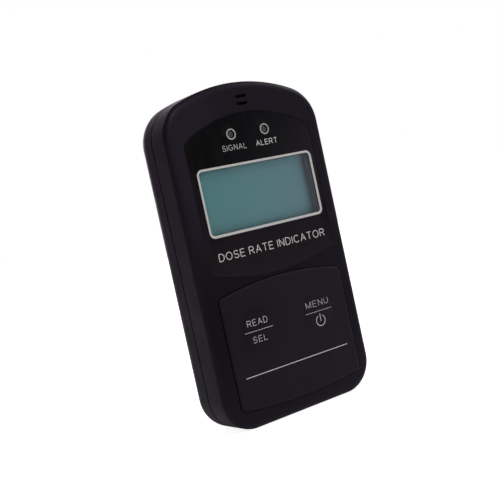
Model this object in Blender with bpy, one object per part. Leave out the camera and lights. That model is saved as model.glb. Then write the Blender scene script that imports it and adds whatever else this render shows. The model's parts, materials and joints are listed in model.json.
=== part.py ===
"""Pocket geiger counter: a clamshell case round a Geiger-Mueller tube, its boards, display and cell.

The case stands on its flat bottom end: +Z runs up its length, the front face looks along -Y and
+X is on the reader's right.  Numbers are in millimetres and become metres through MM.
"""
import math

import bmesh
import bpy
from mathutils import Matrix, Vector

MM = 0.001

# ---- driving dimensions ---------------------------------------------------------------------
WIDTH = 50.0
HEIGHT = 90.8
DEPTH = 17.6
GAP = 0.3                     # clearance between pieces that touch on the real object

TOP_ARCH_RISE = 6.8           # the top end is one shallow arch between two round corners
TOP_CORNER_RADIUS = 10.7
BOTTOM_CORNER_RADIUS = 9.1
FRONT_FILLET = 2.2
REAR_FILLET = 6.0
WALL = 1.6
FRONT_WALL = 1.8
SEAM_Y = -0.5                 # parting plane, just in front of the middle

POCKET_DEPTH = 1.1            # recess in the front wall that holds the window and the keypad

WINDOW_HALF_WIDTH = 20.3
WINDOW_TOP_MIDDLE = 82.2
WINDOW_TOP_CORNER = 76.2
WINDOW_BOTTOM_MIDDLE = 39.0
WINDOW_BOTTOM_CORNER = 42.1
WINDOW_CORNER_RADIUS = 1.2
WINDOW_SINK = 0.05            # the window lies just below the face

VIEW_HALF_WIDTH = 18.2        # clear part of the display
VIEW_HALF_HEIGHT = 8.35
VIEW_CENTRE_Z = 60.2
VIEW_CORNER_RADIUS = 0.9
FRAME_RIM = 0.8               # how far the display's holder shows round the clear part

KEYPAD_HALF_WIDTH = 20.4
KEYPAD_TOP_MIDDLE = 37.7
KEYPAD_TOP_CORNER = 35.3
KEYPAD_BOTTOM_MIDDLE = 4.4
KEYPAD_BOTTOM_CORNER = 5.9
KEYPAD_CORNER_RADIUS = 1.6
KEYPAD_RAISE = 0.45           # how far the keypad stands proud of the face

BUTTON_X = 10.2
BUTTON_Z = 25.2
BUTTON_RADIUS = 5.1
BUTTON_TRAVEL = 0.4

LED_X = 5.5
LED_Z = 77.0
LED_NOSE_RADIUS = 0.85
LED_BODY_RADIUS = 1.5
VENT_ZS = (84.7, 86.65)
VENT_LENGTH = 3.6
VENT_WIDTH = 0.9
BUZZER_Z = 83.2
BUZZER_RADIUS = 4.4

CELL_RADIUS = 5.25            # AAA cell
CELL_LENGTH = 43.7            # without its button end
CELL_Y = 1.75

TUBE_X = -13.6
TUBE_Y = 2.4
TUBE_RADIUS = 3.6
TUBE_BOTTOM = 28.0
TUBE_TOP = 72.0

DOOR_HALF_WIDTH = 7.6
DOOR_BOTTOM = 9.0
DOOR_TOP = 56.0
DOOR_THICKNESS = 1.5
TONGUE_X = 3.3
TONGUE_HALF_WIDTH = 1.8
TONGUE_REACH = 1.6            # how far each hinge tongue passes the door's lower edge
GRIP_ZS = (46.5, 48.5, 50.5)  # grooves for the thumb that opens the door

# ---- derived places -------------------------------------------------------------------------
FACE_Y = -DEPTH / 2
BACK_Y = DEPTH / 2
FRONT_INNER_Y = FACE_Y + FRONT_WALL
REAR_INNER_Y = BACK_Y - WALL
FLOOR_Y = FACE_Y + POCKET_DEPTH
FRONT_RIM_Y = SEAM_Y - GAP / 2
REAR_RIM_Y = SEAM_Y + GAP / 2
ARCH_RADIUS = ((WIDTH / 2) ** 2 + TOP_ARCH_RISE ** 2) / (2 * TOP_ARCH_RISE)
ARCH_CENTRE_Z = HEIGHT - ARCH_RADIUS

MAIN_BOARD_Y = (-3.6, -2.4)
KEYPAD_BOARD_Y = (-4.8, -3.8)
BOARD_BACK_Y = MAIN_BOARD_Y[1] + GAP
CASE_SCREWS = ((-16.5, 9.5), (16.5, 9.5), (-15.5, 78.5), (15.5, 78.5))
BOARD_SCREWS = ((-18.8, 44.5), (18.8, 44.5), (-9.6, 83.8), (9.6, 83.8))
KEYPAD_SCREWS = ((-17.8, 31.0), (17.8, 31.0))
BOSS_RADIUS = 2.5
STANDOFF_RADIUS = 1.9
CASE_SCREW_HOLE = 1.3
BOARD_SCREW_HOLE = 1.1
COUNTERBORE_RADIUS = 2.2
COUNTERBORE_Y = 6.4           # floor of the counterbore under each case screw's head
CASE_HEAD = (1.9, 1.3)        # radius and height of a case screw's head
BOARD_HEAD = (1.6, 1.0)
BUTTON_WELL = BUTTON_RADIUS + 1.2
FLANGE_WIDTH = 0.8            # the rim that keeps a button behind the keypad
LCD_LOW = 49.6
LCD_HIGH = 72.6
LCD_HALF_WIDTH = 20.4


# ---- materials ------------------------------------------------------------------------------
def material(name, colour, roughness, metallic=0.0):
    """One Principled material; the colour is linear RGB."""
    mat = bpy.data.materials.get(name) or bpy.data.materials.new(name)
    mat.use_nodes = True
    shader = mat.node_tree.nodes["Principled BSDF"]
    shader.inputs["Base Color"].default_value = (*colour, 1.0)
    shader.inputs["Roughness"].default_value = roughness
    shader.inputs["Metallic"].default_value = metallic
    mat.diffuse_color = (*colour, 1.0)
    return mat


PALETTE = {
    "case_black": ((0.014, 0.012, 0.015), 0.55),
    "window_black": ((0.004, 0.004, 0.005), 0.08),
    "clear_acrylic": ((0.80, 0.84, 0.84), 0.05),
    "keypad_rubber": ((0.017, 0.015, 0.018), 0.7),
    "frame_grey": ((0.09, 0.09, 0.10), 0.5),
    "lcd_teal": ((0.075, 0.165, 0.175), 0.25),
    "backlight_white": ((0.75, 0.78, 0.76), 0.4),
    "silicone": ((0.30, 0.28, 0.27), 0.6),
    "gasket_rubber": ((0.02, 0.02, 0.02), 0.8),
    "board_green": ((0.01, 0.09, 0.035), 0.4),
    "chip_black": ((0.012, 0.012, 0.013), 0.5),
    "led_epoxy": ((0.16, 0.17, 0.15), 0.15),
    "buzzer_black": ((0.01, 0.01, 0.01), 0.4),
    "foam_grey": ((0.05, 0.05, 0.055), 0.9),
    "switch_white": ((0.62, 0.61, 0.57), 0.45),
    "ribbon_amber": ((0.45, 0.19, 0.03), 0.35),
    "winding_amber": ((0.50, 0.27, 0.04), 0.4),
    "ferrite": ((0.035, 0.033, 0.032), 0.75),
    "ceramic_blue": ((0.04, 0.11, 0.32), 0.35),
    "cap_sleeve": ((0.02, 0.03, 0.08), 0.35),
    "cell_wrap": ((0.05, 0.12, 0.30), 0.3),
    "glass_bead": ((0.12, 0.14, 0.15), 0.12),
}
METALS = {
    "steel": ((0.52, 0.52, 0.53), 0.3),
    "nickel": ((0.62, 0.60, 0.56), 0.25),
    "screw_black": ((0.06, 0.06, 0.065), 0.35),
    "bronze": ((0.62, 0.43, 0.20), 0.3),
    "tin_foil": ((0.60, 0.61, 0.62), 0.35),
}


def finish(name):
    """The material of that name, from the two tables."""
    if name in METALS:
        colour, roughness = METALS[name]
        return material(name, colour, roughness, 1.0)
    colour, roughness = PALETTE[name]
    return material(name, colour, roughness)


# ---- outlines in the XZ plane ---------------------------------------------------------------
def arc(cx, cz, radius, start, end, steps):
    """Points on a circle from start to end, in degrees."""
    angles = [math.radians(start + (end - start) * i / steps) for i in range(steps + 1)]
    return [(cx + radius * math.cos(a), cz + radius * math.sin(a)) for a in angles]


def case_outline(inset):
    """The case's end-on outline, moved inwards by inset, counter-clockwise from the bottom right."""
    side = WIDTH / 2
    low_x, low_z = side - BOTTOM_CORNER_RADIUS, BOTTOM_CORNER_RADIUS
    top_x = side - TOP_CORNER_RADIUS
    top_z = ARCH_CENTRE_Z + math.sqrt((ARCH_RADIUS - TOP_CORNER_RADIUS) ** 2 - top_x ** 2)
    meet = math.degrees(math.atan2(top_z - ARCH_CENTRE_Z, top_x))
    right = arc(low_x, low_z, BOTTOM_CORNER_RADIUS - inset, -90, 0, 6)
    right += arc(top_x, top_z, TOP_CORNER_RADIUS - inset, 0, meet, 6)
    right += arc(0, ARCH_CENTRE_Z, ARCH_RADIUS - inset, meet, 90, 5)[1:]
    left = [(-x, z) for x, z in reversed(right[:-1])]
    return right + left


def rounded(points, radius, steps=4):
    """A polygon given counter-clockwise, with each convex corner rounded to radius."""
    out = []
    for i, point in enumerate(points):
        here = Vector(point)
        back = (Vector(points[i - 1]) - here).normalized()
        ahead = (Vector(points[(i + 1) % len(points)]) - here).normalized()
        half = back.angle(ahead) / 2
        if half > math.radians(80):
            out.append(tuple(here))
            continue
        reach = radius / math.tan(half)
        centre = here + (back + ahead).normalized() * (radius / math.sin(half))
        first = here + back * reach - centre
        turn = math.pi - 2 * half
        for k in range(steps + 1):
            a = turn * k / steps
            spun = Vector((first.x * math.cos(a) - first.y * math.sin(a),
                           first.x * math.sin(a) + first.y * math.cos(a)))
            out.append(tuple(centre + spun))
    return out


def bowed_panel(half_width, top_mid, top_side, low_mid, low_side, radius, grow=0.0, steps=12):
    """A panel with straight sides and bowed top and bottom edges, made larger all round by grow."""
    half = half_width + grow

    def bow(mid, side, x):
        return mid + (side - mid) * (x / half) ** 2
    xs = [half * (2 * i / steps - 1) for i in range(steps + 1)]
    low = [(x, bow(low_mid - grow, low_side - grow, x)) for x in xs]
    top = [(x, bow(top_mid + grow, top_side + grow, x)) for x in reversed(xs)]
    return rounded(low + top, radius + grow)


def window_outline(grow=0.0):
    return bowed_panel(WINDOW_HALF_WIDTH, WINDOW_TOP_MIDDLE, WINDOW_TOP_CORNER, WINDOW_BOTTOM_MIDDLE,
                       WINDOW_BOTTOM_CORNER, WINDOW_CORNER_RADIUS, grow)


def keypad_outline(grow=0.0):
    return bowed_panel(KEYPAD_HALF_WIDTH, KEYPAD_TOP_MIDDLE, KEYPAD_TOP_CORNER, KEYPAD_BOTTOM_MIDDLE,
                       KEYPAD_BOTTOM_CORNER, KEYPAD_CORNER_RADIUS, grow)


def rectangle(half_w, half_h, cx=0.0, cz=0.0, radius=0.0):
    corners = [(cx - half_w, cz - half_h), (cx + half_w, cz - half_h),
               (cx + half_w, cz + half_h), (cx - half_w, cz + half_h)]
    return rounded(corners, radius) if radius else corners


def view_outline(grow):
    """The clear part of the display, made larger by grow."""
    return rectangle(VIEW_HALF_WIDTH + grow, VIEW_HALF_HEIGHT + grow, 0, VIEW_CENTRE_Z,
                     VIEW_CORNER_RADIUS + grow)


# ---- solids ---------------------------------------------------------------------------------
def loft(loops, ring=False):
    """A solid through loops of equal length, in order; ring joins the last loop to the first."""
    bm = bmesh.new()
    rows = [[bm.verts.new(Vector(p) * MM) for p in loop] for loop in loops]
    pairs = list(zip(rows, rows[1:])) + ([(rows[-1], rows[0])] if ring else [])
    for low, high in pairs:
        for i in range(len(low)):
            j = (i + 1) % len(low)
            bm.faces.new((low[i], low[j], high[j], high[i]))
    if not ring:
        bm.faces.new(rows[0])
        bm.faces.new(rows[-1])
    bmesh.ops.recalc_face_normals(bm, faces=bm.faces)
    return bm


def place(points, axis, level):
    """Put flat points (a, b) at a level along axis: Y takes (x, z) and Z takes (x, y)."""
    if axis == "Y":
        return [(a, level, b) for a, b in points]
    if axis == "Z":
        return [(a, b, level) for a, b in points]
    return [(level, a, b) for a, b in points]


def prism(points, low, high, axis="Y"):
    """A flat outline drawn out along an axis from low to high."""
    return loft([place(points, axis, low), place(points, axis, high)])


def frame_prism(outer, inner, low, high, axis="Y"):
    """A flat ring between two outlines of equal length, drawn out along an axis."""
    return loft([place(outer, axis, low), place(outer, axis, high),
                 place(inner, axis, high), place(inner, axis, low)], ring=True)


def circle(cx, cy, radius, steps=16):
    return arc(cx, cy, radius, 0, 360, steps)[:-1]


def turned(cx, cy, profile, axis="Y", steps=20):
    """A solid of revolution: profile holds (radius, level) pairs from one end to the other."""
    return loft([place(circle(cx, cy, radius, steps), axis, level) for radius, level in profile])


def box(x, y, z):
    """A box from three (low, high) pairs."""
    outline = rectangle((x[1] - x[0]) / 2, (z[1] - z[0]) / 2, (x[0] + x[1]) / 2, (z[0] + z[1]) / 2)
    return prism(outline, y[0], y[1])


def add(name, bm, finish_name, origin=(0, 0, 0), smooth=None):
    """Make the named object, with its origin moved to a point given in millimetres."""
    point = Vector(origin) * MM
    bmesh.ops.translate(bm, verts=bm.verts, vec=-point)
    mesh = bpy.data.meshes.new(name)
    bm.to_mesh(mesh)
    bm.free()
    obj = bpy.data.objects.new(name, mesh)
    obj.location = point
    bpy.context.scene.collection.objects.link(obj)
    if finish_name:
        mesh.materials.append(finish(finish_name))
    if smooth is not None:
        mesh.shade_smooth()
        mesh.set_sharp_from_angle(angle=math.radians(smooth))
    return obj


def combine(obj, operation, solids):
    """Boolean each solid into the object with the exact solver and keep the plain result."""
    for bm in solids:
        tool = add("tool", bm, None)
        step = obj.modifiers.new("step", "BOOLEAN")
        step.operation = operation
        step.solver = "EXACT"
        step.object = tool
        graph = bpy.context.evaluated_depsgraph_get()
        result = bpy.data.meshes.new_from_object(obj.evaluated_get(graph))
        obj.modifiers.clear()
        old = obj.data
        obj.data = result
        result.name = obj.name
        bpy.data.meshes.remove(old)
        bpy.data.objects.remove(tool, do_unlink=True)


def sharpen(obj, angle=35):
    obj.data.shade_smooth()
    obj.data.set_sharp_from_angle(angle=math.radians(angle))


# ---- case -----------------------------------------------------------------------------------
def shell(rim, face, fillet, inner_fillet, inner_face, steps):
    """Half of the case: a rounded tray with its open side at the rim and a wall of even thickness."""
    sign = 1 if face > rim else -1
    outer = [place(case_outline(0), "Y", rim)]
    for i in range(steps + 1):
        a = math.radians(90 * i / steps)
        level = face - sign * fillet * (1 - math.sin(a))
        outer.append(place(case_outline(fillet * (1 - math.cos(a))), "Y", level))
    inner = [place(case_outline(WALL), "Y", rim)]
    for i in range(steps // 2 + 1):
        a = math.radians(90 * i / (steps // 2))
        level = inner_face - sign * inner_fillet * (1 - math.sin(a))
        inner.append(place(case_outline(WALL + inner_fillet * (1 - math.cos(a))), "Y", level))
    return loft(list(reversed(outer)) + inner)


def front_shell():
    tray = shell(FRONT_RIM_Y, FACE_Y, FRONT_FILLET, 0.8, FRONT_INNER_Y, 5)
    obj = add("front_shell", tray, "case_black")
    weld = FRONT_INNER_Y - 0.3
    posts = [prism(circle(x, z, BOSS_RADIUS), weld, FRONT_RIM_Y) for x, z in CASE_SCREWS]
    posts += [prism(circle(x, z, STANDOFF_RADIUS, 12), weld, MAIN_BOARD_Y[0] - GAP)
              for x, z in BOARD_SCREWS]
    posts += [prism(circle(x, z, STANDOFF_RADIUS, 12), weld, KEYPAD_BOARD_Y[0] - GAP)
              for x, z in KEYPAD_SCREWS]
    combine(obj, "UNION", posts)
    outside, inside = FACE_Y - 1, FRONT_INNER_Y + 1
    cuts = [prism(window_outline(GAP), outside, FLOOR_Y),
            prism(keypad_outline(GAP), outside, FLOOR_Y),
            prism(view_outline(FRAME_RIM + GAP), FLOOR_Y - 1, inside)]
    cuts += [prism(circle(x, LED_Z, LED_BODY_RADIUS + GAP), FLOOR_Y - 1, inside) for x in (-LED_X, LED_X)]
    cuts += [prism(rectangle(VENT_LENGTH / 2, VENT_WIDTH / 2, 0, z, VENT_WIDTH * 0.49), outside, inside)
             for z in VENT_ZS]
    cuts += [prism(circle(x, BUTTON_Z, BUTTON_WELL, 24), FLOOR_Y - 1, inside) for x in (-BUTTON_X, BUTTON_X)]
    cuts += [prism(circle(x, z, CASE_SCREW_HOLE, 12), FRONT_RIM_Y - 4.0, FRONT_RIM_Y + 1)
             for x, z in CASE_SCREWS]
    cuts += [prism(circle(x, z, BOARD_SCREW_HOLE, 8), FRONT_INNER_Y + 0.5, MAIN_BOARD_Y[0])
             for x, z in BOARD_SCREWS]
    cuts += [prism(circle(x, z, BOARD_SCREW_HOLE, 8), FRONT_INNER_Y + 0.3, KEYPAD_BOARD_Y[0])
             for x, z in KEYPAD_SCREWS]
    combine(obj, "DIFFERENCE", cuts)
    sharpen(obj)


def rear_shell():
    tray = shell(REAR_RIM_Y, BACK_Y, REAR_FILLET, REAR_FILLET - WALL, REAR_INNER_Y, 6)
    obj = add("rear_shell", tray, "case_black")
    posts = [prism(circle(x, z, BOSS_RADIUS), REAR_RIM_Y, REAR_INNER_Y + 0.3) for x, z in CASE_SCREWS]
    combine(obj, "UNION", posts)
    cuts = [box((-DOOR_HALF_WIDTH - GAP, DOOR_HALF_WIDTH + GAP), (REAR_INNER_Y - 1, BACK_Y + 1),
                (DOOR_BOTTOM - GAP, DOOR_TOP + GAP))]
    cuts += [prism(circle(x, z, COUNTERBORE_RADIUS), COUNTERBORE_Y, BACK_Y + 1) for x, z in CASE_SCREWS]
    cuts += [prism(circle(x, z, CASE_SCREW_HOLE, 12), REAR_RIM_Y - 1, COUNTERBORE_Y + 0.6)
             for x, z in CASE_SCREWS]
    combine(obj, "DIFFERENCE", cuts)
    sharpen(obj)


def case_gasket():
    ring = frame_prism(case_outline(WALL + GAP), case_outline(WALL + 1.0), SEAM_Y - 0.7, SEAM_Y + 0.7)
    add("case_gasket", ring, "gasket_rubber", smooth=40)


def screw(name, x, z, head, head_y, shaft_radius, tip_y, finish_name):
    """A pan-head screw driven from the back, with a cross recess in its head."""
    head_radius, head_height = head
    profile = [(shaft_radius * 0.4, tip_y), (shaft_radius, tip_y + 0.5), (shaft_radius, head_y),
               (head_radius, head_y), (head_radius, head_y + head_height * 0.6),
               (head_radius * 0.7, head_y + head_height)]
    obj = add(name, turned(x, z, profile, steps=12), finish_name)
    top = head_y + head_height
    arm, half = head_radius * 0.55, head_radius * 0.12
    for wide, tall in ((arm, half), (half, arm)):
        combine(obj, "DIFFERENCE", [box((x - wide, x + wide), (top - head_height * 0.5, top + 1),
                                        (z - tall, z + tall))])
    seat = Vector((x, head_y, z)) * MM
    obj.data.transform(Matrix.Translation(-seat))
    obj.location = seat
    sharpen(obj)


def screws():
    for i, (x, z) in enumerate(CASE_SCREWS, 1):
        screw(f"case_screw_{i}", x, z, CASE_HEAD, COUNTERBORE_Y + GAP, 1.0, -3.6, "screw_black")
    for i, (x, z) in enumerate(BOARD_SCREWS, 1):
        screw(f"board_screw_{i}", x, z, BOARD_HEAD, MAIN_BOARD_Y[1] + GAP, 0.8, -6.0, "steel")
    for i, (x, z) in enumerate(KEYPAD_SCREWS, 1):
        screw(f"keypad_screw_{i}", x, z, BOARD_HEAD, KEYPAD_BOARD_Y[1] + GAP, 0.8, -6.2, "steel")


# ---- display --------------------------------------------------------------------------------
def display():
    front, back = FACE_Y + WINDOW_SINK, FLOOR_Y - GAP
    window = add("display_window", prism(window_outline(), front, back), "window_black")
    cuts = [prism(view_outline(0), front - 1, back + 1)]
    cuts += [prism(circle(x, LED_Z, LED_NOSE_RADIUS + GAP), front - 1, back + 1) for x in (-LED_X, LED_X)]
    combine(window, "DIFFERENCE", cuts)
    sharpen(window)
    add("display_lens", prism(view_outline(-GAP), front, back), "clear_acrylic", smooth=40)

    holder_front, holder_back = FRONT_INNER_Y + GAP, MAIN_BOARD_Y[0] - GAP
    mid, half = (LCD_LOW + LCD_HIGH) / 2, (LCD_HIGH - LCD_LOW) / 2
    lip, wall = 0.5, 0.7
    block = box((-LCD_HALF_WIDTH, LCD_HALF_WIDTH), (holder_front, holder_back), (LCD_LOW, LCD_HIGH))
    holder = add("lcd_frame", block, "frame_grey")
    combine(holder, "UNION", [prism(view_outline(FRAME_RIM), FLOOR_Y, holder_front + 0.2)])
    seat = prism(rectangle(LCD_HALF_WIDTH - wall, half - wall, 0, mid), holder_front + lip, holder_back + 1)
    combine(holder, "DIFFERENCE", [prism(view_outline(0), FLOOR_Y - 1, holder_front + 1), seat])
    glass_front = holder_front + lip + GAP
    glass_back = glass_front + 1.0
    glass = rectangle(LCD_HALF_WIDTH - wall - GAP, half - wall - GAP, 0, mid)
    add("lcd_glass", prism(glass, glass_front, glass_back), "lcd_teal")
    light = rectangle(VIEW_HALF_WIDTH + 0.4, VIEW_HALF_HEIGHT + 0.8, 0, VIEW_CENTRE_Z)
    add("lcd_backlight", prism(light, glass_back + GAP, holder_back), "backlight_white")
    strip = rectangle(17.0, 0.5, 0, LCD_HIGH - 1.9, 0.2)
    add("zebra_strip", prism(strip, glass_back + GAP, holder_back), "silicone")


def leds():
    for name, x in (("status_led", -LED_X), ("alarm_led", LED_X)):
        nose, body = LED_NOSE_RADIUS, LED_BODY_RADIUS
        profile = [(body + 0.4, MAIN_BOARD_Y[0] - GAP), (body + 0.4, -4.6), (body, -4.6), (body, -7.2),
                   (nose, -7.6), (nose, -8.3), (nose * 0.7, -8.5), (nose * 0.25, -8.6)]
        add(name, turned(x, LED_Z, profile, steps=20), "led_epoxy", smooth=40)


def buzzer():
    back = MAIN_BOARD_Y[0] - GAP
    can = [(BUZZER_RADIUS, back), (BUZZER_RADIUS, -5.8), (BUZZER_RADIUS - 0.3, -6.0), (0.8, -6.0),
           (0.8, -5.2)]
    add("buzzer", turned(0, BUZZER_Z, can), "buzzer_black", smooth=40)
    ring = frame_prism(circle(0, BUZZER_Z, BUZZER_RADIUS, 24), circle(0, BUZZER_Z, BUZZER_RADIUS - 0.8, 24),
                       FRONT_INNER_Y + 0.1, -6.3)
    add("buzzer_gasket", ring, "foam_grey", smooth=40)


# ---- keypad ---------------------------------------------------------------------------------
def keypad():
    front, back = FACE_Y - KEYPAD_RAISE, FLOOR_Y - GAP
    edge = 0.35
    loops = [place(keypad_outline(-edge), "Y", front), place(keypad_outline(0), "Y", front + edge),
             place(keypad_outline(0), "Y", back)]
    panel = add("keypad_panel", loft(loops), "keypad_rubber")
    combine(panel, "DIFFERENCE", [prism(circle(x, BUTTON_Z, BUTTON_RADIUS + GAP, 28), front - 1, back + 1)
                                  for x in (-BUTTON_X, BUTTON_X)])
    sharpen(panel)
    flange = FLOOR_Y
    for side, x in (("view", -BUTTON_X), ("mode", BUTTON_X)):
        cap = [(0.6, front - 0.3), (BUTTON_RADIUS * 0.5, front - 0.24), (BUTTON_RADIUS - 0.7, front - 0.05),
               (BUTTON_RADIUS - 0.1, front + 0.2), (BUTTON_RADIUS, front + 0.5), (BUTTON_RADIUS, flange),
               (BUTTON_RADIUS + FLANGE_WIDTH, flange), (BUTTON_RADIUS + FLANGE_WIDTH, flange + 0.5),
               (1.5, flange + 0.5), (1.5, flange + 0.9)]
        add(f"{side}_button", turned(x, BUTTON_Z, cap, steps=28), "keypad_rubber",
            origin=(x, FACE_Y, BUTTON_Z), smooth=40)
        stem = flange + 0.9
        body = add(f"{side}_switch", prism(rectangle(3.1, 3.1, x, BUTTON_Z, 0.4), stem + GAP + 0.5,
                                           KEYPAD_BOARD_Y[0] - GAP), "chip_black")
        combine(body, "DIFFERENCE", [prism(circle(x, BUTTON_Z, 1.8), stem, stem + 1.55)])
        plunger = [(1.2, stem + GAP), (1.5, stem + GAP + 0.15), (1.5, stem + GAP + 0.7)]
        add(f"{side}_plunger", turned(x, BUTTON_Z, plunger, steps=16), "switch_white",
            origin=(x, FACE_Y, BUTTON_Z), smooth=40)


# ---- boards and electronics -----------------------------------------------------------------
def board(name, outline, levels, screw_places):
    """A circuit board with a clearance hole for each of its screws."""
    obj = add(name, prism(outline, *levels), "board_green")
    combine(obj, "DIFFERENCE", [prism(circle(x, z, BOARD_SCREW_HOLE + 0.05, 8), levels[0] - 1, levels[1] + 1)
                                for x, z in screw_places])


def boards():
    """The main board straddles the battery bay on two legs; the keypad board lies under the buttons."""
    leg_out, leg_in, foot, crotch = 21.5, 8.0, 38.0, 59.0
    shoulder, crown, neck = 75.5, 86.4, 12.2
    half = [(leg_in, crotch), (leg_in, foot), (leg_out, foot), (leg_out, shoulder), (neck, shoulder),
            (neck, crown)]
    board("main_board", half + [(-x, z) for x, z in reversed(half)], MAIN_BOARD_Y, BOARD_SCREWS)
    board("keypad_board", rectangle(20.0, 12.0, 0, BUTTON_Z - 0.2, 1.0), KEYPAD_BOARD_Y, KEYPAD_SCREWS)
    near, far, thick = KEYPAD_BOARD_Y[1] + GAP, BOARD_BACK_Y, 0.3
    bend = [(near, 32.0), (near + thick, 32.0), (near + thick, 36.6), (far + thick, 37.6),
            (far + thick, 42.0), (far, 42.0), (far, 37.7), (near, 36.7)]
    add("ribbon_jumper", prism(bend, 9.4, 15.4, "X"), "ribbon_amber")


def electronics():
    back = BOARD_BACK_Y
    add("microcontroller", prism(rectangle(5, 5, 0, 66.5, 0.2), back, back + 1.4), "chip_black")
    add("crystal", prism(rectangle(2.6, 1.1, 0, 75.0, 1.05), back, back + 1.3), "nickel")
    x, z, y = 14.8, 52.0, 1.4
    core = add("transformer_core", box((x - 5.4, x + 5.4), (y - 2, y + 2), (z - 5, z + 5)), "ferrite")
    combine(core, "DIFFERENCE", [box((x + s * 2.6 - 1.2, x + s * 2.6 + 1.2), (y - 3, y + 3),
                                     (z - 3.6, z + 3.6)) for s in (-1, 1)])
    outer = rounded([(x - 3.5, y - 3.3), (x + 3.5, y - 3.3), (x + 3.5, y + 3.3), (x - 3.5, y + 3.3)], 0.8)
    inner = rounded([(x - 1.7, y - 2.3), (x + 1.7, y - 2.3), (x + 1.7, y + 2.3), (x - 1.7, y + 2.3)], 0.2)
    add("transformer_winding", frame_prism(outer, inner, z - 3.3, z + 3.3, "Z"), "winding_amber")
    disc = [(3.6, back), (4.0, back + 0.4), (4.0, back + 2.1), (3.6, back + 2.5)]
    add("hv_capacitor", turned(14.8, 61.8, disc), "ceramic_blue", smooth=40)
    can = [(2.5, back), (2.5, back + 0.6), (2.35, back + 0.9), (2.5, back + 1.2), (2.5, back + 7.0),
           (2.2, back + 7.3)]
    add("supply_capacitor", turned(14.8, 69.6, can, steps=20), "cap_sleeve", smooth=30)


# ---- detector -------------------------------------------------------------------------------
def detector():
    end = TUBE_RADIUS
    can = [(end - 0.5, TUBE_BOTTOM), (end, TUBE_BOTTOM + 0.5), (end, TUBE_TOP)]
    add("gm_tube", turned(TUBE_X, TUBE_Y, can, "Z"), "steel", smooth=40)
    bead = [(end - 0.1, TUBE_TOP + GAP), (end - 0.1, TUBE_TOP + 1.0), (1.6, TUBE_TOP + 1.9)]
    add("gm_tube_seal", turned(TUBE_X, TUBE_Y, bead, "Z"), "glass_bead", smooth=40)
    pin = [(0.5, TUBE_TOP + 2.2), (0.5, TUBE_TOP + 3.2), (0.3, TUBE_TOP + 3.5)]
    add("gm_tube_anode", turned(TUBE_X, TUBE_Y, pin, "Z", 12), "nickel", smooth=40)
    sleeve = frame_prism(circle(TUBE_X, TUBE_Y, end + 0.7, 24), circle(TUBE_X, TUBE_Y, end + GAP, 24),
                         45.0, 64.0, "Z")
    add("gm_tube_filter", sleeve, "tin_foil", smooth=40)
    for name, z in (("tube_clip_lower", 40.5), ("tube_clip_upper", 67.5)):
        inner = arc(TUBE_X, TUBE_Y, end + GAP, -220, 40, 16)
        outer = arc(TUBE_X, TUBE_Y, end + GAP + 0.45, 44, -224, 16)
        add(name, prism(inner + outer, z - 2, z + 2, "Z"), "bronze", smooth=40)


# ---- battery bay ----------------------------------------------------------------------------
def battery():
    bay_low, bay_high, wall = 6.9, 57.0, 1.6
    mid, half = (bay_low + bay_high) / 2, (bay_high - bay_low) / 2
    tray = frame_prism(rectangle(DOOR_HALF_WIDTH - 0.1, half + wall, 0, mid, 0.8),
                       rectangle(CELL_RADIUS + 0.4, half, 0, mid, 0.2),
                       KEYPAD_BOARD_Y[1] + 0.4, REAR_INNER_Y - 0.3)
    add("battery_tray", tray, "frame_grey")
    cell_low = 12.0
    cell_high = cell_low + CELL_LENGTH
    cell = [(CELL_RADIUS - 0.6, cell_low), (CELL_RADIUS, cell_low + 0.4), (CELL_RADIUS, cell_high - 0.4),
            (CELL_RADIUS - 0.6, cell_high), (1.9, cell_high), (1.9, cell_high + 0.7), (1.6, cell_high + 0.8)]
    add("battery_cell", turned(0, CELL_Y, cell, "Z"), "cell_wrap", smooth=40)
    plate = 0.4
    add("battery_contact_negative", prism(rectangle(4.6, 4.1, 0, CELL_Y, 0.8), bay_low + 0.1,
                                          bay_low + 0.1 + plate, "Z"), "nickel")
    add("battery_contact_positive", prism(rectangle(4.6, 4.1, 0, CELL_Y, 0.8), bay_high - 0.1 - plate,
                                          bay_high - 0.1, "Z"), "nickel")
    start, stop = bay_low + 0.1 + plate + GAP + 0.35, cell_low - GAP - 0.35
    battery_spring(start, stop)


def battery_spring(start, stop, turns=4, per_turn=10, wire=0.35):
    """A conical coil that presses on the flat end of the cell."""
    curve = bpy.data.curves.new("battery_spring", "CURVE")
    curve.dimensions = "3D"
    curve.bevel_depth = wire * MM
    curve.bevel_resolution = 1
    curve.use_fill_caps = True
    line = curve.splines.new("POLY")
    count = turns * per_turn
    line.points.add(count)
    for i in range(count + 1):
        share = i / count
        a = 2 * math.pi * turns * share
        radius = 3.4 - 1.0 * share
        point = Vector((radius * math.cos(a), CELL_Y + radius * math.sin(a), start + (stop - start) * share))
        line.points[i].co = (*(point * MM), 1.0)
    obj = bpy.data.objects.new("battery_spring", curve)
    bpy.context.scene.collection.objects.link(obj)
    curve.materials.append(finish("steel"))


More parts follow.
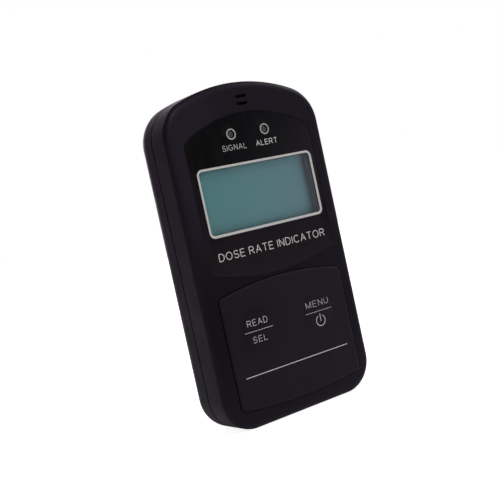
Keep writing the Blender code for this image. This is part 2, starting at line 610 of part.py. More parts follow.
def battery_door():
    """The door swings out about its lower outside edge, on two tongues behind the shell."""
    inner = BACK_Y - DOOR_THICKNESS
    door = add("battery_door", box((-DOOR_HALF_WIDTH, DOOR_HALF_WIDTH), (inner, BACK_Y),
                                   (DOOR_BOTTOM, DOOR_TOP)), "case_black")
    inside, behind = inner - 0.9, REAR_INNER_Y - GAP
    high, low = DOOR_BOTTOM + TONGUE_REACH, DOOR_BOTTOM - TONGUE_REACH
    tongue = [(inner + 0.5, DOOR_BOTTOM), (inner + 0.5, high), (inside, high), (inside, low), (behind, low),
              (behind, DOOR_BOTTOM)]
    for x in (-TONGUE_X, TONGUE_X):
        combine(door, "UNION", [prism(tongue, x - TONGUE_HALF_WIDTH, x + TONGUE_HALF_WIDTH, "X")])
    notch = turned(0, DOOR_TOP, [(4.2, BACK_Y - 0.7), (5.0, BACK_Y + 1)])
    grips = [box((-4.5, 4.5), (BACK_Y - 0.4, BACK_Y + 1), (z - 0.35, z + 0.35)) for z in GRIP_ZS]
    combine(door, "DIFFERENCE", [notch] + grips)
    door.data.transform(Matrix.Translation((0, -BACK_Y * MM, -DOOR_BOTTOM * MM)))
    door.location = (0, BACK_Y * MM, DOOR_BOTTOM * MM)
    sharpen(door)


def main():
    for obj in list(bpy.data.objects):
        bpy.data.objects.remove(obj, do_unlink=True)
    front_shell()
    rear_shell()
    case_gasket()
    screws()
    display()
    leds()
    buzzer()
    keypad()
    boards()
    electronics()
    detector()
    battery()
    battery_door()


main()
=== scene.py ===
"""The looks of the pocket geiger counter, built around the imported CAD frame.

Lengths are in millimetres and become metres through MM.  The case stands on its bottom end with its
length along +Z and its display face towards -Y.
"""

import json
import math

import bmesh
import bpy
from mathutils import Matrix, Vector
from mathutils.geometry import delaunay_2d_cdt

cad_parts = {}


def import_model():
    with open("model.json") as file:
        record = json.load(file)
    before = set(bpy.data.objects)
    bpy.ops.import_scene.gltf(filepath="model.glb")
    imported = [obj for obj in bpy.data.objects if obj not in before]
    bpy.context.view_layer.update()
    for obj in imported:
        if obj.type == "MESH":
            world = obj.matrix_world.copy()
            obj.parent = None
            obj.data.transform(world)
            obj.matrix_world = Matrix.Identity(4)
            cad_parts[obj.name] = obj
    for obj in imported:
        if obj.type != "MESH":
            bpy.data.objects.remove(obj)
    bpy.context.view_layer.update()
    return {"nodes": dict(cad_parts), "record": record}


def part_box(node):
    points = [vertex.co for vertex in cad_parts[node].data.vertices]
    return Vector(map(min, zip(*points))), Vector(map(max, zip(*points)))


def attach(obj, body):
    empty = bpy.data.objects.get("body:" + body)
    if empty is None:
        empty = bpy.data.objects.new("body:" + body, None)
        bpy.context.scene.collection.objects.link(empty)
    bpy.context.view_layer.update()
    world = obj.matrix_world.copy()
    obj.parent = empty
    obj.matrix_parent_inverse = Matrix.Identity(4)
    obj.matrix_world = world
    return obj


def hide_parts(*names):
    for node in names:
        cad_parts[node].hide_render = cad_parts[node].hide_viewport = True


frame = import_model()
SLOTS = {part["node"]: part["material_slot"] for part in frame["record"]["subparts"]}

MM = 0.001


def cad(node):
    """A node's lowest and highest corner in millimetres."""
    low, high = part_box(node)
    return Vector(low) / MM, Vector(high) / MM


# ---- sizes read from the frame ----
FRONT_LOW, FRONT_HIGH = cad("front_shell")
REAR_LOW, REAR_HIGH = cad("rear_shell")
WINDOW_LOW, WINDOW_HIGH = cad("display_window")
LENS_LOW, LENS_HIGH = cad("display_lens")
KEYPAD_LOW, KEYPAD_HIGH = cad("keypad_panel")
VIEW_LOW, VIEW_HIGH = cad("view_button")
MODE_LOW, MODE_HIGH = cad("mode_button")
DOOR_HIGH = cad("battery_door")[1]
CELL_LOW, CELL_HIGH = cad("battery_cell")
LED_LOW, LED_HIGH = cad("alarm_led")
CASE_SCREW_NAMES = [f"case_screw_{i}" for i in (1, 2, 3, 4)]

# ---- sizes of the case ----
SIDE = FRONT_HIGH.x
HEIGHT = FRONT_HIGH.z
FACE_Y = FRONT_LOW.y
BACK_Y = REAR_HIGH.y
FRONT_RIM_Y = FRONT_HIGH.y
REAR_RIM_Y = REAR_LOW.y
TOP_ARCH_RISE = 6.8
TOP_CORNER_RADIUS = 10.7
BOTTOM_CORNER_RADIUS = 9.1
FRONT_FILLET = 2.2
FRONT_INNER_FILLET = 0.8
REAR_FILLET = 6.0
WALL = 1.6
FRONT_WALL = 1.8
POCKET_DEPTH = 1.1
FLOOR_Y = FACE_Y + POCKET_DEPTH
FRONT_INNER_Y = FACE_Y + FRONT_WALL
REAR_INNER_Y = BACK_Y - WALL
ARCH_RADIUS = (SIDE ** 2 + TOP_ARCH_RISE ** 2) / (2 * TOP_ARCH_RISE)
ARCH_CENTRE_Z = HEIGHT - ARCH_RADIUS
SEAM_ROUND = 0.18
LIP_Y = REAR_RIM_Y - 0.05  # a lip on the front shell almost closes the parting gap
LIP_OUTER_INSET = 0.7
LIP_INNER_INSET = 1.3
POCKET_GAP = 0.3  # round the window, the keypad and the door
HOLE_EDGE = 0.12
VENT_EDGE = 0.08
VENT_ZS = (84.7, 86.65)
VENT_LENGTH = 3.6
VENT_WIDTH = 0.9
SCREW_WELL_RADIUS = 2.2
SCREW_WELL_EDGE = 0.2
SCREW_WELL_FLOOR_Y = 7.0
SCREW_SEAT_Y = 6.7
SCREW_SHANK = 1.0
DOOR_EDGE = 0.12
DOOR_CORNER = 0.5
DOOR_SILL_Z = 9.0  # the opening starts above the door's tongues

# ---- sizes of the window, display and lamps ----
WINDOW_FRONT_Y = WINDOW_LOW.y
WINDOW_BACK_Y = WINDOW_HIGH.y
WINDOW_TOP_DROP = 6.0
WINDOW_LOW_LIFT = 3.1
WINDOW_CORNER = 1.2
WINDOW_GROW = 0.26
WINDOW_EDGE = 0.12
PLATE_HOLE_EDGE = 0.05
PANE_GAP = 0.02
PANE_EDGE = 0.03
VIEW_MARGIN = 0.3  # from the pane in the frame to the edge of the clear view
VIEW_CENTRE_Z = (LENS_LOW.z + LENS_HIGH.z) / 2
VIEW_HALF_WIDTH = LENS_HIGH.x + VIEW_MARGIN
VIEW_HALF_HEIGHT = (LENS_HIGH.z - LENS_LOW.z) / 2 + VIEW_MARGIN
VIEW_CORNER = 0.9
VIEW_WELL = 1.1  # how far the shell's opening stays outside the clear view
LED_X = (LED_LOW.x + LED_HIGH.x) / 2
LED_Z = (LED_LOW.z + LED_HIGH.z) / 2
LAMP_WELL_RADIUS = 1.8
LAMP_HOLE = 1.09
LAMP_RADIUS = 1.07
LAMP_BODY_RADIUS = 1.5
LAMP_FLANGE_RADIUS = 1.9
LAMP_FLANGE_DEPTH = 0.7
LAMP_BODY_Y = -7.2
LAMP_NOSE_Y = -7.6
LAMP_SHOULDER_Y = -8.2
LAMP_TIP_Y = WINDOW_FRONT_Y + 0.02

# ---- sizes of the keypad and buttons ----
KEYPAD_FRONT_Y = KEYPAD_LOW.y
KEYPAD_BACK_Y = FLOOR_Y - 0.3
KEYPAD_TOP_DROP = 2.4
KEYPAD_LOW_LIFT = 1.5
KEYPAD_CORNER = 1.6
KEYPAD_MARGIN_LOW = Vector((0.13, 0.0, 0.27))  # the panel sits at the bottom of its pocket
KEYPAD_MARGIN_HIGH = Vector((0.13, 0.0, 0.17))
SHOULDER_WIDTH = 0.9
SHOULDER_Y = FACE_Y + 0.06  # where the panel's soft shoulder starts
KEY_GAP = 0.035
BUTTON_X = (MODE_LOW.x + MODE_HIGH.x) / 2
BUTTON_Z = (MODE_LOW.z + MODE_HIGH.z) / 2
BUTTON_FLANGE = 0.8
BUTTON_WELL = 1.2
BUTTON_RADIUS = (MODE_HIGH.x - MODE_LOW.x) / 2 - BUTTON_FLANGE
STEM_RADIUS = 1.5

# ---- sizes of the printed marks ----
PRINT_THICKNESS = 0.025
PRINT_DEPTH = 0.015
DOME_HEIGHT = KEYPAD_FRONT_Y - VIEW_LOW.y - 1.2 * PRINT_THICKNESS
BORDER_OUTER = (0.72, 0.33, -0.05)  # beyond the clear view, then the shift to the right and up
BORDER_INNER = (0.06, 0.25, 0.0)
RING_RADII = (1.48, 1.14)
POWER_PEN = 0.10
POWER_RADIUS = 1.5
POWER_OPENING = 32  # in degrees, to each side of the top of the ring
KEY_LINE = 4.6  # half the length of the lines on the buttons


# ---- node helpers ----
class Nodes:
    """A node tree with short calls for the nodes that the finishes and the stage share."""

    def __init__(self, owner):
        owner.use_nodes = True
        self.tree = owner.node_tree

    def node(self, kind, **settings):
        made = self.tree.nodes.new(kind)
        for key, value in settings.items():
            setattr(made, key, value)
        return made

    def link(self, start, end):
        self.tree.links.new(start, end)

    def ramp(self, factor, stops):
        """A colour ramp through (position, colour) stops."""
        ramp = self.node("ShaderNodeValToRGB")
        band = ramp.color_ramp
        while len(band.elements) < len(stops):
            band.elements.new(0.5)
        for element, (position, colour) in zip(band.elements, stops):
            element.position = position
            element.color = (*colour, 1.0)
        self.link(factor, ramp.inputs["Fac"])
        return ramp.outputs["Color"]

    def between(self, factor, low, high, from_low=0.3, from_high=0.7):
        """A number that follows factor from low to high."""
        span = self.node("ShaderNodeMapRange")
        for key, value in (("From Min", from_low), ("From Max", from_high),
                           ("To Min", low), ("To Max", high)):
            span.inputs[key].default_value = value
        self.link(factor, span.inputs["Value"])
        return span.outputs["Result"]

    def mix(self, factor, start, end, blend="MIX"):
        """Two colours mixed by a factor; the second is an output or a plain colour."""
        made = self.node("ShaderNodeMix", data_type="RGBA", blend_type=blend)
        self.link(factor, made.inputs["Factor"])
        self.link(start, made.inputs["A"])
        if isinstance(end, tuple):
            made.inputs["B"].default_value = (*end, 1.0)
        else:
            self.link(end, made.inputs["B"])
        return made.outputs["Result"]

    def axis(self, vector, name):
        """One coordinate of a vector."""
        split = self.node("ShaderNodeSeparateXYZ")
        self.link(vector, split.inputs["Vector"])
        return split.outputs[name]


class Shader(Nodes):
    """A material built round its Principled shader."""

    def __init__(self, name, colour, roughness, metallic=0.0):
        self.material = bpy.data.materials.new(name)
        super().__init__(self.material)
        self.bsdf = self.tree.nodes["Principled BSDF"]
        self.set("Base Color", (*colour, 1.0))
        self.set("Roughness", roughness)
        self.set("Metallic", metallic)
        self.space = self.node("ShaderNodeTexCoord").outputs["Object"]

    def set(self, socket, value):
        self.bsdf.inputs[socket].default_value = value

    def mapped(self, kind="POINT", **values):
        """Object coordinates moved, turned or scaled."""
        mapping = self.node("ShaderNodeMapping", vector_type=kind)
        for key, value in values.items():
            mapping.inputs[key].default_value = value
        self.link(self.space, mapping.inputs["Vector"])
        return mapping.outputs["Vector"]

    def noise(self, per_metre, detail=2.0, space=None, distortion=0.0):
        tex = self.node("ShaderNodeTexNoise")
        tex.inputs["Scale"].default_value = per_metre
        tex.inputs["Detail"].default_value = detail
        tex.inputs["Distortion"].default_value = distortion
        self.link(space or self.space, tex.inputs["Vector"])
        return tex.outputs["Fac"]

    def bump(self, height, depth_mm, strength=1.0):
        bump = self.node("ShaderNodeBump")
        bump.inputs["Strength"].default_value = strength
        bump.inputs["Distance"].default_value = depth_mm * MM
        self.link(height, bump.inputs["Height"])
        if self.bsdf.inputs["Normal"].is_linked:
            self.link(self.bsdf.inputs["Normal"].links[0].from_socket, bump.inputs["Normal"])
        self.link(bump.outputs["Normal"], self.bsdf.inputs["Normal"])

    def colour_from(self, socket):
        self.link(socket, self.bsdf.inputs["Base Color"])

    def near(self, centre, reach, full=0.5):
        """How near a point in millimetres is: 0 past the reach on an axis, and 1 well inside it."""
        place = self.mapped("TEXTURE", Location=Vector(centre) * MM, Scale=Vector(reach) * MM)
        ball = self.node("ShaderNodeTexGradient", gradient_type="SPHERICAL")
        self.link(place, ball.inputs["Vector"])
        return self.between(ball.outputs["Fac"], 0.0, 1.0, 0.0, full)

    def blend_colour(self, colour, factor):
        """Take the present base colour towards another one by a factor."""
        present = self.bsdf.inputs["Base Color"].links[0].from_socket
        self.colour_from(self.mix(factor, present, colour))

    def mottle(self, noise, colour, dark, light):
        """Let the base colour follow a noise from a darker to a lighter tone of a colour."""
        tones = [tuple(min(1.0, c * gain) for c in colour) for gain in (dark, light)]
        self.colour_from(self.ramp(noise, list(zip((0.3, 0.7), tones))))

    def roughness_from(self, socket):
        self.link(socket, self.bsdf.inputs["Roughness"])


def moulded(name, colour, roughness, grain_mm=0.12, depth_mm=0.004, spread=0.12, specular=0.5):
    """Moulded plastic or rubber: fine spark-eroded grain, faint blotches and handling marks."""
    s = Shader(name, colour, roughness)
    s.set("Specular IOR Level", specular)
    s.mottle(s.noise(60.0, 3.0, distortion=0.4), colour, 1 - spread, 1 + spread)
    s.roughness_from(s.between(s.noise(180.0, 4.0), roughness - 0.05, roughness + 0.05))
    s.bump(s.noise(1.0 / (grain_mm * MM), 2.0), depth_mm, 0.6)
    return s


def glossy(name, colour, roughness, wave_mm=6.0, specular=0.5):
    """A polished surface with a very slight unevenness and faint wiping marks."""
    s = Shader(name, colour, roughness)
    s.set("Specular IOR Level", specular)
    wipes = s.noise(220.0, 5.0, s.mapped(Scale=(1.0, 1.0, 0.25)), 0.8)
    s.roughness_from(s.between(wipes, roughness * 0.7, roughness * 1.5))
    s.mottle(s.noise(90.0), colour, 0.92, 1.08)
    s.bump(s.noise(1.0 / (wave_mm * MM), 1.0), 0.01, 0.25)
    return s


def metal(name, colour, roughness, brushed=(1.0, 1.0, 1.0), scale=900.0, depth_mm=0.004):
    """Plated or brushed metal; brushed stretches the grain along one axis."""
    s = Shader(name, colour, roughness, 1.0)
    grain = s.noise(scale, 3.0, s.mapped(Scale=brushed))
    s.mottle(s.noise(120.0, 3.0), colour, 0.88, 1.08)
    s.roughness_from(s.between(grain, roughness * 0.75, roughness * 1.3))
    s.bump(grain, depth_mm, 0.5)
    return s


# ---- finishes ----
SOFT_TOUCH_TINT = (0.92, 0.72, 1.0, 1.0)


def case_finish():
    """Soft-touch black, with painted shade darkening the lower face and a painted highlight lightening the
    upper left.
    """
    s = moulded("case_black", (0.0066, 0.0052, 0.0086), 0.5, grain_mm=0.10, depth_mm=0.004, specular=0.17)
    # Painted highlight: the base colour lightens at the upper left of the face.
    s.blend_colour((0.0120, 0.0095, 0.0150), s.near((-22, -9.5, 80), (17, 1.8, 36), 0.4))
    # Painted shade: the base colour darkens over the lower face.
    s.blend_colour((0.0008, 0.0008, 0.0012), s.near((-7, -9.5, 28), (50, 1.9, 29)))
    s.set("Specular Tint", SOFT_TOUCH_TINT)
    s.set("Sheen Weight", 0.05)
    s.set("Sheen Roughness", 0.35)
    s.set("Sheen Tint", (1.0, 0.55, 1.0, 1.0))
    return s.material


def keypad_finish():
    """Silicone rubber, with painted shade darkening it round the left button."""
    s = moulded("keypad_rubber", (0.0034, 0.0032, 0.0056), 0.52, grain_mm=0.07, depth_mm=0.003,
                specular=0.26)
    # Painted shade: the base colour darkens round the left button.
    s.blend_colour((0.0006, 0.0007, 0.0020), s.near((-14, -9.5, 27), (16, 6, 13), 0.6))
    s.set("Specular Tint", SOFT_TOUCH_TINT)
    return s.material


def window_finish():
    """Glossy black, with painted reflections lightening it at its left margin and below the display."""
    s = glossy("window_black", (0.0007, 0.0026, 0.0018), 0.12, specular=0.24)
    # Painted reflection: the base colour lightens along the left margin.
    s.blend_colour((0.0072, 0.0056, 0.0074), s.near((-20.4, -9.3, 58), (2.4, 6, 13), 0.35))
    # Painted reflection: the base colour lightens in a band below the display.
    s.blend_colour((0.0048, 0.0042, 0.0056), s.near((2, -9.3, 49.6), (30, 6, 3.4), 0.6))
    s.set("Specular Tint", (1.0, 0.72, 1.0, 1.0))
    return s.material


def print_finish(name, colour):
    """Screen-printed ink, slightly uneven where the mesh laid it down."""
    s = Shader(name, colour, 0.5)
    mesh = s.noise(2500.0, 2.0)
    s.mottle(mesh, colour, 0.9, 1.08)
    s.bump(mesh, 0.004, 0.5)
    return s.material


def lens_finish():
    """Clear acrylic: a Fresnel share of sharp reflection over plain see-through."""
    s = Shader("clear_acrylic", (0.9, 0.95, 0.95), 0.03)
    fresnel = s.node("ShaderNodeFresnel")
    fresnel.inputs["IOR"].default_value = 1.35
    clear = s.node("ShaderNodeBsdfTransparent")
    clear.inputs["Color"].default_value = (0.97, 1.0, 1.0, 1.0)
    s.roughness_from(s.between(s.noise(240.0, 4.0), 0.02, 0.05))
    mix = s.node("ShaderNodeMixShader")
    s.link(fresnel.outputs["Fac"], mix.inputs["Fac"])
    s.link(clear.outputs["BSDF"], mix.inputs[1])
    s.link(s.bsdf.outputs["BSDF"], mix.inputs[2])
    s.link(mix.outputs["Shader"], s.tree.nodes["Material Output"].inputs["Surface"])
    return s.material


def lcd_finish():
    """A blank liquid crystal display: a blue-green reflector under a fine satin polariser, with painted
    shade at its side edges.
    """
    s = Shader("lcd_teal", (0.09, 0.18, 0.19), 0.35)
    x = s.axis(s.space, "X")
    cloud = s.node("ShaderNodeMath", operation="ADD")
    s.link(s.between(x, 0.0, 1.0, -18 * MM, 18 * MM), cloud.inputs[0])
    s.link(s.between(s.noise(70.0, 2.0), -0.08, 0.08), cloud.inputs[1])
    field = s.ramp(cloud.outputs["Value"],
                   [(0.05, (0.150, 0.43, 0.45)), (0.5, (0.187, 0.43, 0.48)), (0.95, (0.235, 0.41, 0.48))])
    # Painted shade: near both side edges the display's colour darkens to a violet-grey, under the bezel's
    # walls.
    side = s.node("ShaderNodeMath", operation="ABSOLUTE")
    s.link(x, side.inputs[0])
    edge = s.between(side.outputs["Value"], 0.0, 1.0, 16.8 * MM, 18.4 * MM)
    s.colour_from(s.mix(edge, field, (0.18, 0.20, 0.26)))
    s.bump(s.noise(9000.0, 1.0), 0.002, 0.4)
    return s.material


def led_finish(name, colour):
    """Diffused epoxy over an unlit die."""
    s = Shader(name, colour, 0.12)
    s.set("Coat Weight", 0.5)
    s.set("Coat Roughness", 0.05)
    s.set("Subsurface Weight", 0.2)
    s.set("Subsurface Scale", 0.001)
    s.mottle(s.noise(1400.0, 2.0), colour, 0.7, 1.3)
    s.bump(s.noise(500.0), 0.004, 0.3)
    return s.material


def board_finish():
    """Green solder mask with the faint relief and lighter tone of the tracks under it."""
    s = Shader("board_green", (0.01, 0.09, 0.035), 0.3)
    brick = s.node("ShaderNodeTexBrick")
    s.link(s.mapped(Rotation=(math.radians(90), 0, 0)), brick.inputs["Vector"])
    for key, value in (
            ("Scale", 260.0), ("Mortar Size", 0.03), ("Brick Width", 1.3), ("Row Height", 0.35),
            ("Color1", (0.008, 0.075, 0.03, 1)), ("Color2", (0.010, 0.088, 0.034, 1)),
            ("Mortar", (0.022, 0.15, 0.06, 1))):
        brick.inputs[key].default_value = value
    s.colour_from(brick.outputs["Color"])
    s.bump(brick.outputs["Fac"], 0.03, 0.5)
    return s.material


def ribbed(name, light, dark, per_metre, roughness, axis, metallic=0.0):
    """Stripes across one axis, as on a zebra strip, a wound coil or a flat cable."""
    s = Shader(name, light, roughness, metallic)
    wave = s.node("ShaderNodeTexWave", bands_direction=axis)
    wave.inputs["Scale"].default_value = per_metre
    wave.inputs["Distortion"].default_value = 0.3
    s.link(s.space, wave.inputs["Vector"])
    s.colour_from(s.ramp(wave.outputs["Fac"], [(0.25, dark), (0.75, light)]))
    s.bump(wave.outputs["Fac"], 0.02, 0.6)
    return s


def cell_finish():
    """The cell's shrink wrap: a dark blue sleeve with a copper band at its positive end."""
    s = Shader("cell_wrap", (0.05, 0.12, 0.30), 0.25)
    along = s.between(s.axis(s.space, "Z"), 0.0, 1.0, CELL_LOW.z * MM, CELL_HIGH.z * MM)
    steel, blue, copper = (0.50, 0.49, 0.46), (0.02, 0.05, 0.16), (0.60, 0.30, 0.12)
    s.colour_from(s.ramp(along, [(0.0, steel), (0.018, steel), (0.02, blue), (0.74, blue),
                                 (0.745, copper), (0.955, copper), (0.96, steel)]))
    s.set("Coat Weight", 0.4)
    s.roughness_from(s.between(s.noise(300.0, 3.0), 0.18, 0.34))
    s.bump(s.noise(400.0, 2.0), 0.01, 0.2)
    return s.material


# Each look holds its maker's values, from the colour on.
MOULDED = {
    "frame_grey": ((0.20, 0.185, 0.225), 0.35),
    "gasket_rubber": ((0.018, 0.018, 0.018), 0.8),
    "chip_black": ((0.014, 0.014, 0.015), 0.5, 0.08),
    "buzzer_black": ((0.011, 0.011, 0.011), 0.42),
    "foam_grey": ((0.012, 0.012, 0.013), 0.9, 0.35, 0.12),
    "switch_white": ((0.60, 0.58, 0.54), 0.45),
    "ferrite": ((0.03, 0.028, 0.027), 0.75, 0.2, 0.02),
}
GLOSSY = {
    "backlight_white": ((0.75, 0.78, 0.76), 0.35),
    "ceramic_blue": ((0.03, 0.10, 0.32), 0.3),
    "cap_sleeve": ((0.015, 0.025, 0.08), 0.3),
    "glass_bead": ((0.05, 0.07, 0.08), 0.12),
}
METALS = {
    "nickel": ((0.66, 0.63, 0.57), 0.24),
    "steel": ((0.55, 0.55, 0.56), 0.30, (1.0, 1.0, 0.08)),
    "tin_foil": ((0.66, 0.67, 0.68), 0.32, (1.0, 1.0, 1.0), 500.0, 0.03),
    "bronze": ((0.68, 0.44, 0.20), 0.26, (1.0, 1.0, 0.1)),
    "screw_black": ((0.055, 0.055, 0.06), 0.38, (1.0, 1.0, 1.0), 1500.0),
}
RIBBED = {
    "silicone": ((0.38, 0.34, 0.32), (0.05, 0.05, 0.05), 900.0, 0.6, "X"),
    "ribbon_amber": ((0.50, 0.20, 0.03), (0.34, 0.12, 0.02), 500.0, 0.3, "X"),
    "winding_amber": ((0.52, 0.24, 0.05), (0.26, 0.09, 0.02), 1500.0, 0.3, "Z", 0.6),
}


def finishes():
    """Every slot's material, by the record's slot name, and the inks and the two lamps' epoxies."""
    made = {
        "case_black": case_finish(),
        "window_black": window_finish(),
        "clear_acrylic": lens_finish(),
        "keypad_rubber": keypad_finish(),
        "lcd_teal": lcd_finish(),
        "board_green": board_finish(),
        "cell_wrap": cell_finish(),
        "led_epoxy": led_finish("led_epoxy", (0.10, 0.11, 0.08)),
        "status_epoxy": led_finish("status_epoxy", (0.027, 0.028, 0.020)),
        "alarm_epoxy": led_finish("alarm_epoxy", (0.032, 0.027, 0.022)),
        "legend_ink": print_finish("legend_ink", (0.63, 0.62, 0.60)),
        "ring_ink": print_finish("ring_ink", (0.45, 0.45, 0.43)),
    }
    for table, maker in ((MOULDED, moulded), (GLOSSY, glossy), (METALS, metal), (RIBBED, ribbed)):
        for name, look in table.items():
            made[name] = maker(name, *look).material
    return made


FINISH = finishes()


# ---- outlines in the XZ plane ----
def quarter(steps):
    """Angles from nothing to a quarter turn in equal steps."""
    return [math.radians(90 * i / steps) for i in range(steps + 1)]


def oval(cx, cz, half_width, half_height, start, end, steps=14):
    angles = [math.radians(start + (end - start) * i / steps) for i in range(steps + 1)]
    return [(cx + half_width * math.cos(a), cz + half_height * math.sin(a)) for a in angles]


def arc(cx, cz, radius, start, end, steps):
    return oval(cx, cz, radius, radius, start, end, steps)


def circle(cx, cz, radius, steps=48):
    return arc(cx, cz, radius, 0, 360, steps)[:-1]


def case_outline(inset):
    """The case's outline moved inwards by inset, counter-clockwise from the bottom right."""
    low_x, low_z = SIDE - BOTTOM_CORNER_RADIUS, BOTTOM_CORNER_RADIUS
    top_x = SIDE - TOP_CORNER_RADIUS
    top_z = ARCH_CENTRE_Z + math.sqrt((ARCH_RADIUS - TOP_CORNER_RADIUS) ** 2 - top_x ** 2)
    meet = math.degrees(math.atan2(top_z - ARCH_CENTRE_Z, top_x))
    right = arc(low_x, low_z, BOTTOM_CORNER_RADIUS - inset, -90, 0, 18)
    right += arc(top_x, top_z, TOP_CORNER_RADIUS - inset, 0, meet, 18)
    right += arc(0, ARCH_CENTRE_Z, ARCH_RADIUS - inset, meet, 90, 12)[1:]
    return right + [(-x, z) for x, z in reversed(right[:-1])]


def rounded(points, radius, steps=6):
    """A counter-clockwise polygon with each sharp corner rounded to radius."""
    out = []
    for i, point in enumerate(points):
        here = Vector(point)
        back = (Vector(points[i - 1]) - here).normalized()
        ahead = (Vector(points[(i + 1) % len(points)]) - here).normalized()
        half = back.angle(ahead) / 2
        if half > math.radians(80):
            out.append(tuple(here))
            continue
        centre = here + (back + ahead).normalized() * (radius / math.sin(half))
        first = here + back * (radius / math.tan(half)) - centre
        turn = math.pi - 2 * half
        for k in range(steps + 1):
            a = turn * k / steps
            out.append((centre.x + first.x * math.cos(a) - first.y * math.sin(a),
                        centre.y + first.x * math.sin(a) + first.y * math.cos(a)))
    return out


def bowed_panel(low, high, top_drop, low_lift, radius, grow, steps=32):
    """A panel that fills a box, with bowed top and bottom edges, made larger all round by grow."""
    half = high.x + grow
    straight = half - 1.6 * (radius + grow)

    def bow(mid, side, x):
        return mid + (side - mid) * (x / half) ** 2
    xs = [-half] + [straight * (2 * i / steps - 1) for i in range(steps + 1)] + [half]
    bottom = [(x, bow(low.z - grow, low.z + low_lift - grow, x)) for x in xs]
    top = [(x, bow(high.z + grow, high.z - top_drop + grow, x)) for x in reversed(xs)]
    return rounded(bottom + top, radius + grow)


def window_outline(grow):
    return bowed_panel(WINDOW_LOW, WINDOW_HIGH, WINDOW_TOP_DROP, WINDOW_LOW_LIFT, WINDOW_CORNER, grow)


def keypad_outline(grow, low=KEYPAD_LOW, high=KEYPAD_HIGH):
    return bowed_panel(low, high, KEYPAD_TOP_DROP, KEYPAD_LOW_LIFT, KEYPAD_CORNER, grow)


def rectangle(half_w, half_h, cx=0.0, cz=0.0, radius=0.0):
    corners = [(cx - half_w, cz - half_h), (cx + half_w, cz - half_h),
               (cx + half_w, cz + half_h), (cx - half_w, cz + half_h)]
    return rounded(corners, radius) if radius else corners


def view_outline(grow):
    return rectangle(VIEW_HALF_WIDTH + grow, VIEW_HALF_HEIGHT + grow, 0, VIEW_CENTRE_Z,
                     VIEW_CORNER + grow)


def vent_outline(z, grow):
    return rectangle(VENT_LENGTH / 2 + grow, VENT_WIDTH / 2 + grow, 0, z, (VENT_WIDTH / 2 + grow) * 0.98)


# ---- mesh building ----
def add_object(name, data):
    obj = bpy.data.objects.new(name, data)
    bpy.context.scene.collection.objects.link(obj)
    return obj


def mesh_from(bm, name):
    """Turn a bmesh into a mesh whose faces look outwards."""
    bmesh.ops.recalc_face_normals(bm, faces=bm.faces)
    mesh = bpy.data.meshes.new(name)
    bm.to_mesh(mesh)
    bm.free()
    return mesh


class Body:
    """A mesh grown from closed loops of points: walls between loops, and flat fills with holes."""

    def __init__(self):
        self.bm = bmesh.new()

    def loop(self, points, y):
        return [self.bm.verts.new(Vector((x, y, z)) * MM) for x, z in points]

    def wall(self, loops):
        for low, high in zip(loops, loops[1:]):
            for i in range(len(low)):
                j = (i + 1) % len(low)
                self.bm.faces.new((low[i], low[j], high[j], high[i]))

    def tunnel(self, points, near, far):
        """A straight hole between two levels: its two loops, with the wall between them."""
        loops = [self.loop(points, near), self.loop(points, far)]
        self.wall(loops)
        return loops

    def cap(self, loop):
        self.bm.faces.new(loop)

    def solid(self, loops):
        """A wall between loops, closed at both ends."""
        self.wall(loops)
        self.cap(loops[0])
        self.cap(loops[-1])

    def fill(self, outer, holes=()):
        """Flat faces between an outer loop and the loops of its holes."""
        verts = [v for loop in (outer, *holes) for v in loop]
        rings = [[Vector((v.co.x, v.co.z)) / MM for v in loop] for loop in (outer, *holes)]
        found = delaunay_2d_cdt(*joined(rings), [], 0, 1e-6)
        points, faces, origin = found[0], found[2], found[3]
        if len(points) != len(verts):
            raise ValueError(f"a fill has {len(points)} points and its loops have {len(verts)}")
        lookup = [verts[source[0]] for source in origin]
        for face in faces:
            centre = sum((points[i] for i in face), Vector((0, 0))) / len(face)
            if inside(centre, rings[0]) and not any(inside(centre, ring) for ring in rings[1:]):
                self.bm.faces.new([lookup[i] for i in face])

    def finish(self, name, body, node=None, look=None, smooth=35):
        """Turn the body into a piece that rides on a CAD body."""
        return place_piece(name, mesh_from(self.bm, name), body, node, look, smooth)


def joined(rings):
    """All the points of some rings, and the edges round each ring as pairs of their numbers."""
    points, edges = [], []
    for ring in rings:
        first, count = len(points), len(ring)
        points += ring
        edges += [(first + i, first + (i + 1) % count) for i in range(count)]
    return points, edges


def inside(point, ring):
    """True if a flat point is inside a closed ring of flat points."""
    hit = False
    for a, b in zip(ring, ring[1:] + ring[:1]):
        if (a.y > point.y) != (b.y > point.y):
            if point.x < a.x + (point.y - a.y) * (b.x - a.x) / (b.y - a.y):
                hit = not hit
    return hit


def place_piece(name, mesh, body, node=None, look=None, smooth=35):
    """Add a piece that rides on a body and may stand in for a node, whose slot is its usual look.

    The shading is smooth up to an angle in degrees, or flat where that is None.
    """
    obj = add_object(name, mesh)
    mesh.materials.append(FINISH[look or SLOTS[node]])
    if smooth is not None:
        shade(obj, smooth)
    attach(obj, body)
    if node:
        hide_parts(node)
    return obj


def keep_shape(obj):
    """Keep the mesh that the object's modifiers make."""
    graph = bpy.context.evaluated_depsgraph_get()
    result = bpy.data.meshes.new_from_object(obj.evaluated_get(graph))
    obj.modifiers.clear()
    obj.data = result


def shade(obj, angle):
    """Smooth the shading up to an angle, and let every flat face keep its direction up to its edges."""
    obj.data.shade_smooth()
    obj.data.set_sharp_from_angle(angle=math.radians(angle))
    even = obj.modifiers.new("even", "WEIGHTED_NORMAL")
    even.keep_sharp = True
    keep_shape(obj)


def turned(name, cx, cz, profile, body, node, look=None, steps=48, smooth=35):
    """A solid turned about an axis along Y through (radius, y) pairs."""
    made = Body()
    loops = [made.loop(circle(cx, cz, radius, steps), y) for radius, y in profile]
    made.solid(loops)
    return made.finish(name, body, node, look, smooth)


